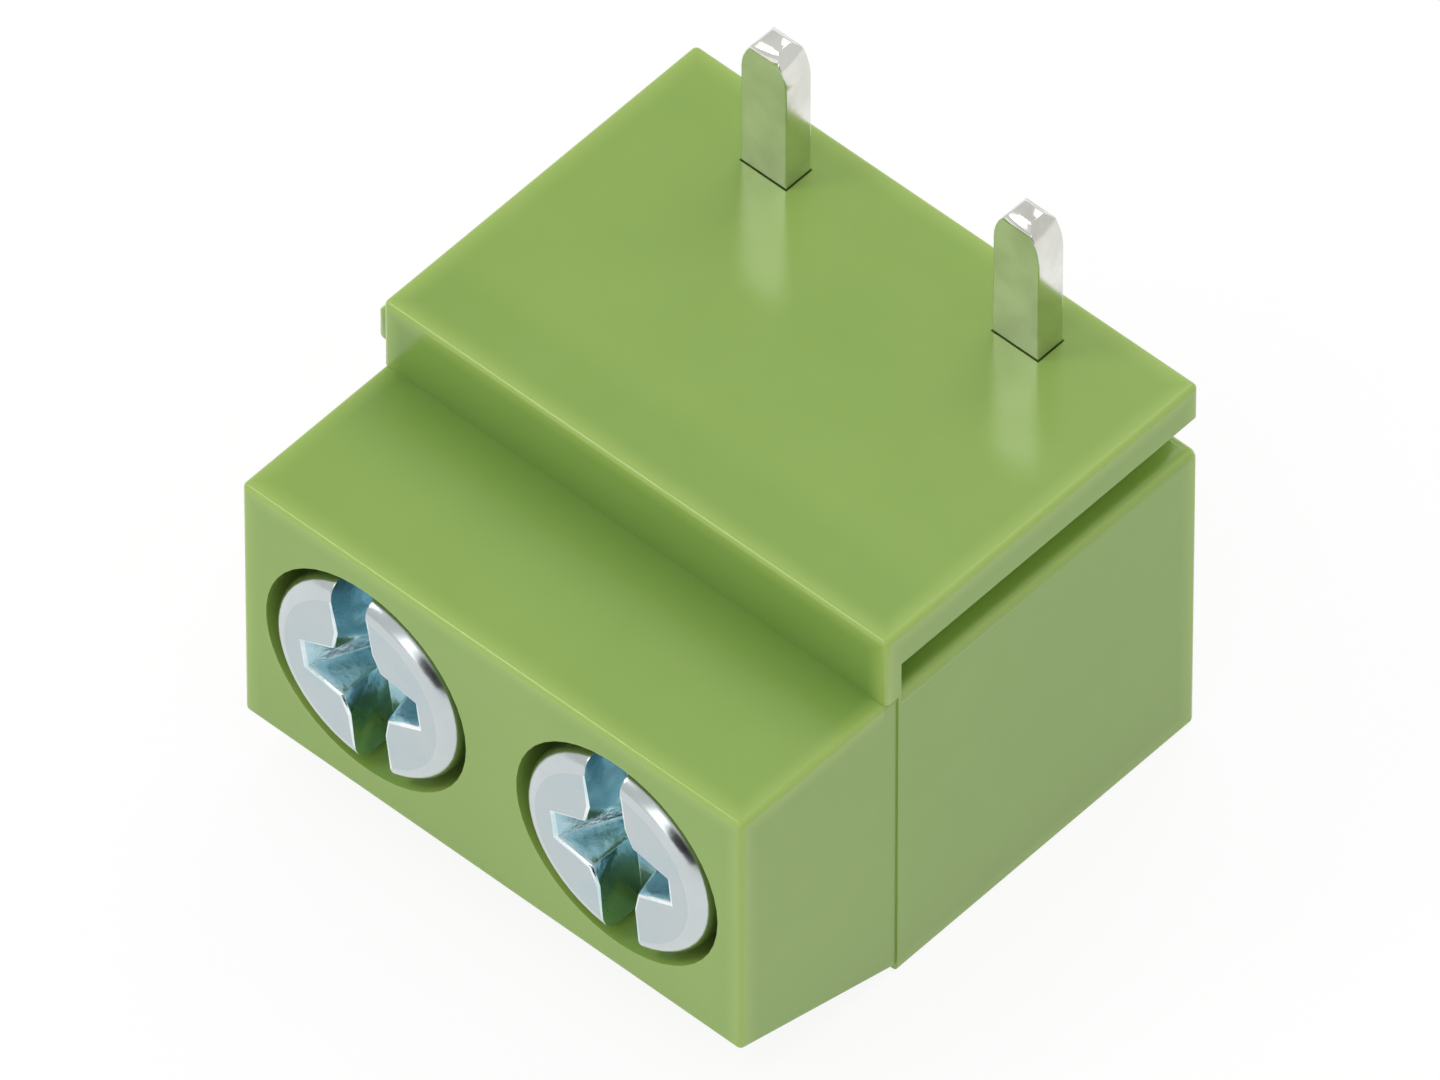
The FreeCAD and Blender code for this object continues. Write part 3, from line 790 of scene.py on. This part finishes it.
class BLOCK_OT_dress_screws(bpy.types.Operator):
    """Replace the screws by zinc plated ones with threads and crisp driving recesses"""

    bl_idname = "block.dress_screws"
    bl_label = "Dress the clamp screws"

    def execute(self, context):
        settings = context.scene.block_metal
        finishes = self.finishes(settings)
        for pole in POLES:
            node = f"clamp_screw_{pole}"
            joint = next(item for item in frame["joints"] if item["child"] == f"screw_{pole}")
            axis = Vector(joint["pos_m"])
            low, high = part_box(node)
            shape = merged_copy(node)
            self.paint_recess(shape, axis, low.y)
            edges = self.recess_mouth(shape, low.y)
            mouth = round_edges(shape, edges, settings.mouth_round, segments=3, clamp=False)
            # The rounded mouth gets the plating with the painted highlight.
            for face in mouth["faces"]:
                face.material_index = MOUTH_HIGHLIGHT_FINISH
            drop_specks(shape, size=0.004 * MM)
            soften_rims(shape, settings.screw_round)
            self.paint_rim_highlight(shape, axis, low.y)
            seat_y = self.seat_level(shape)
            cut_thread(
                shape,
                axis,
                start_y=seat_y,
                end_y=high.y,
                crest=self.shank_radius(shape, axis, seat_y),
                pitch=settings.thread_pitch,
                depth=settings.thread_depth,
            )
            piece = make_piece(f"screw_{pole}_turned", shape, f"screw_{pole}", node)
            for finish in finishes:
                piece.data.materials.append(finish)
        return {"FINISHED"}

    @staticmethod
    def finishes(settings):
        """Make the platings of the face, the recess, the rim and the recess mouth, in this order; the rim
        and mouth platings are painted highlights.
        """
        face = metal_material(
            "zinc_plate",
            settings.screw_colour,
            tone=(0.42, 0.58, 0.64, 1.0),
            amount=0.35,
            sheen=0.25,
            spread=0.04,
            bump=0.06,
        )
        recess = metal_material(
            "zinc_recess",
            settings.recess_colour,
            tone=(0.36, 0.58, 0.66, 1.0),
            amount=0.8,
            sheen=0.22,
            spread=0.08,
            bump=0.9,
            bump_height=0.016 * MM,
        )
        # Painted highlight: a lighter plating on the rounded rim of the head.
        rim = metal_material(
            "zinc_rim_highlight",
            (0.60, 0.645, 0.655, 1.0),
            tone=settings.screw_colour,
            amount=0.5,
            sheen=0.2,
            spread=0.04,
            bump=0.06,
        )
        # Painted highlight: a near white plating on the rounded mouth of the recess.
        mouth = metal_material(
            "zinc_mouth_highlight",
            (0.93, 0.96, 0.97, 1.0),
            tone=settings.recess_colour,
            amount=1.0,
            sheen=0.16,
            spread=0.08,
            bump=0.9,
            bump_height=0.012 * MM,
        )
        return face, recess, rim, mouth

    @staticmethod
    def seat_level(shape):
        """Measure where the flat lies with which the head bears on the housing."""
        bearing = [face for face in shape.faces if face.normal.y > FACING]
        largest = max(bearing, key=lambda face: face.calc_area())
        return largest.calc_center_median().y

    @staticmethod
    def shank_radius(shape, axis, seat_y):
        """Measure the radius of the shank clear of the head."""
        clear_of_head = seat_y + 0.1 * MM
        return max(
            math.hypot(vertex.co.x - axis.x, vertex.co.z - axis.z)
            for vertex in shape.verts
            if vertex.co.y > clear_of_head
        )

    @staticmethod
    def place_on_head(face, axis, face_y):
        """Give a face's distance from the axis, its depth in the head and how far it looks outwards."""
        centre = face.calc_center_median()
        out = Vector((centre.x - axis.x, 0.0, centre.z - axis.z))
        outward = face.normal.dot(out.normalized()) if out.length > 0 else 0.0
        return out.length, centre.y - face_y, outward

    @staticmethod
    def recess_mouth(shape, face_y):
        """Find the edges between the head's flat face and the walls of the driving recess."""
        flat_depth = 0.004 * MM
        shortest = 0.2 * MM
        mouth = []
        for edge in shape.edges:
            finishes = {face.material_index for face in edge.link_faces}
            flat = all(vertex.co.y - face_y < flat_depth for vertex in edge.verts)
            if len(finishes) == 2 and flat and edge.calc_length() > shortest:
                mouth.append(edge)
        return mouth

    @classmethod
    def paint_recess(cls, shape, axis, face_y):
        """Give the walls and floors of the driving recess their finish."""
        widest = 1.8 * MM
        shallowest, deepest = 0.03 * MM, 1.5 * MM
        most_outward = 0.3
        for face in shape.faces:
            radius, depth, outward = cls.place_on_head(face, axis, face_y)
            if radius < widest and shallowest < depth < deepest and outward < most_outward:
                face.material_index = RECESS_FINISH

    @classmethod
    def paint_rim_highlight(cls, shape, axis, face_y):
        """Give the rounded rim of the head a lighter plating, a painted highlight."""
        rim_depth = 0.3 * MM
        least_lean = 0.02
        for face in shape.faces:
            _, depth, outward = cls.place_on_head(face, axis, face_y)
            rounded = outward > least_lean and -face.normal.y > least_lean
            if depth < rim_depth and rounded and face.material_index == FACE_FINISH:
                face.material_index = RIM_HIGHLIGHT_FINISH


def camera_axes(azimuth, elevation):
    """Give the camera's right, up and backward directions."""
    right = Vector((math.cos(azimuth), math.sin(azimuth), 0.0))
    back = Vector((
        math.sin(azimuth) * math.cos(elevation),
        -math.cos(azimuth) * math.cos(elevation),
        math.sin(elevation),
    ))
    return right, back.cross(right), back


def area_lamp(name, azimuth, elevation, width, height, power, lean=0.0):
    """Hang a rectangular lamp that faces the block, its top leaning towards +X by so many degrees."""
    _, _, back = camera_axes(math.radians(azimuth), math.radians(elevation))
    data = bpy.data.lights.new(name, "AREA")
    data.shape = "RECTANGLE"
    data.size = width
    data.size_y = height
    data.energy = power
    lamp = bpy.data.objects.new(name, data)
    lamp.location = MIDDLE + back * LAMP_DISTANCE
    roll = Quaternion((0.0, 0.0, 1.0), math.radians(-lean))
    lamp.rotation_euler = ((-back).to_track_quat("-Z", "Y") @ roll).to_euler()
    bpy.context.scene.collection.objects.link(lamp)


def floor_material(colour):
    """Make a pale floor that the camera and reflections see as near white, with a faint shadow."""
    glow_strength = 1.03
    glow_share = 0.86
    material = bpy.data.materials.new("studio_floor")
    material.use_nodes = True
    tree = material.node_tree
    shader = tree.nodes["Principled BSDF"]
    shader.inputs["Base Color"].default_value = colour
    shader.inputs["Roughness"].default_value = 0.9
    shader.inputs["Specular IOR Level"].default_value = 0.0
    glow = add_node(tree, "ShaderNodeEmission", {"Color": WHITE, "Strength": glow_strength})
    path = add_node(tree, "ShaderNodeLightPath")
    seen = math_node(tree, "MAXIMUM", path.outputs["Is Camera Ray"], path.outputs["Is Glossy Ray"])
    seen = math_node(tree, "MAXIMUM", seen, path.outputs["Is Transmission Ray"])
    share = math_node(tree, "MULTIPLY", seen, glow_share)
    blend = add_node(tree, "ShaderNodeMixShader")
    tree.links.new(share, blend.inputs["Fac"])
    tree.links.new(shader.outputs["BSDF"], blend.inputs[1])
    tree.links.new(glow.outputs["Emission"], blend.inputs[2])
    tree.links.new(blend.outputs["Shader"], tree.nodes["Material Output"].inputs["Surface"])
    return material


class BLOCK_OT_set_stage(bpy.types.Operator):
    """Lay the floor, hang the lamps and set the camera"""

    bl_idname = "block.set_stage"
    bl_label = "Set the stage"

    def execute(self, context):
        settings = context.scene.block_studio
        self.lay_floor(settings)
        self.light(context, settings)
        self.aim_camera(context, settings)
        return {"FINISHED"}

    @staticmethod
    def lay_floor(settings):
        """Lay a plain floor under the block."""
        shape = bmesh.new()
        bmesh.ops.create_grid(shape, x_segments=1, y_segments=1, size=3.0)
        mesh = bpy.data.meshes.new("studio_floor")
        shape.to_mesh(mesh)
        shape.free()
        floor = bpy.data.objects.new("studio_floor", mesh)
        bpy.context.scene.collection.objects.link(floor)
        mesh.materials.append(floor_material(settings.floor_colour))

    @staticmethod
    def light(context, settings):
        """Light the block evenly, with soft lamps for the sheen and a dark opening for the metal."""
        opening_direction = (0.72, -0.69, 0.08)
        # Cosines of the angles from that direction where the opening starts and where it is full.
        opening_start, opening_full = 0.81, 0.89
        world = context.scene.world or bpy.data.worlds.new("studio")
        context.scene.world = world
        world.use_nodes = True
        tree = world.node_tree
        sky = tree.nodes["Background"]
        sky.inputs["Strength"].default_value = settings.world_strength
        direction = add_node(tree, "ShaderNodeTexCoord").outputs["Generated"]
        along = add_node(tree, "ShaderNodeVectorMath", operation="DOT_PRODUCT")
        along.inputs[1].default_value = Vector(opening_direction).normalized()
        tree.links.new(direction, along.inputs[0])
        opening = remap(tree, along.outputs["Value"], opening_start, opening_full)
        tree.links.new(mix_colour(tree, opening, WHITE, DARK), sky.inputs["Color"])
        area_lamp("front_softbox", 20, 27, width=0.06, height=0.20, power=0.054, lean=37)
        area_lamp("rear_softbox", 190, 50, width=0.12, height=0.12, power=0.055)
        area_lamp("strip_light", -41, 48, width=0.05, height=0.09, power=0.060)

    @staticmethod
    def aim_camera(context, settings):
        """Stand the camera where the photograph was taken from."""
        right, up, back = camera_axes(settings.azimuth, settings.elevation)
        # Shifts of the aim in the picture, in millimetres.
        shift_right, shift_up = 0.0114, 0.3212
        aim = MIDDLE + right * shift_right * MM + up * shift_up * MM
        data = bpy.data.cameras.new("camera")
        data.sensor_width = 36.0
        data.lens = settings.lens
        data.clip_start = 0.01
        data.clip_end = 5.0
        camera = bpy.data.objects.new("camera", data)
        camera.location = aim + back * settings.distance
        camera.rotation_euler = Matrix((right, up, back)).transposed().to_euler()
        context.scene.collection.objects.link(camera)
        context.scene.camera = camera
        context.scene.view_settings.view_transform = "Standard"


class BLOCK_PT_dressing(bpy.types.Panel):
    """List the steps that dress the terminal block"""

    bl_idname = "BLOCK_PT_dressing"
    bl_label = "Terminal Block"
    bl_space_type = "VIEW_3D"
    bl_region_type = "UI"
    bl_category = "Terminal Block"

    def draw(self, context):
        layout = self.layout
        for operator in OPERATORS:
            layout.operator(operator.bl_idname)
        for name in ("block_moulding", "block_metal", "block_studio"):
            settings = getattr(context.scene, name)
            for key in settings.bl_rna.properties.keys():
                if key not in ("rna_type", "name"):
                    layout.prop(settings, key)


OPERATORS = (
    BLOCK_OT_dress_moulding,
    BLOCK_OT_dress_contacts,
    BLOCK_OT_dress_cages,
    BLOCK_OT_dress_screws,
    BLOCK_OT_set_stage,
)
CLASSES = (MouldingSettings, MetalSettings, StudioSettings, *OPERATORS, BLOCK_PT_dressing)


def register():
    for item in CLASSES:
        bpy.utils.register_class(item)
    bpy.types.Scene.block_moulding = bpy.props.PointerProperty(type=MouldingSettings)
    bpy.types.Scene.block_metal = bpy.props.PointerProperty(type=MetalSettings)
    bpy.types.Scene.block_studio = bpy.props.PointerProperty(type=StudioSettings)


def unregister():
    del bpy.types.Scene.block_studio
    del bpy.types.Scene.block_metal
    del bpy.types.Scene.block_moulding
    for item in reversed(CLASSES):
        bpy.utils.unregister_class(item)


def main():
    """Dress the block and set the stage."""
    register()
    bpy.ops.block.dress_moulding()
    bpy.ops.block.dress_contacts()
    bpy.ops.block.dress_cages()
    bpy.ops.block.dress_screws()
    bpy.ops.block.set_stage()


if __name__ == "__main__":
    main()
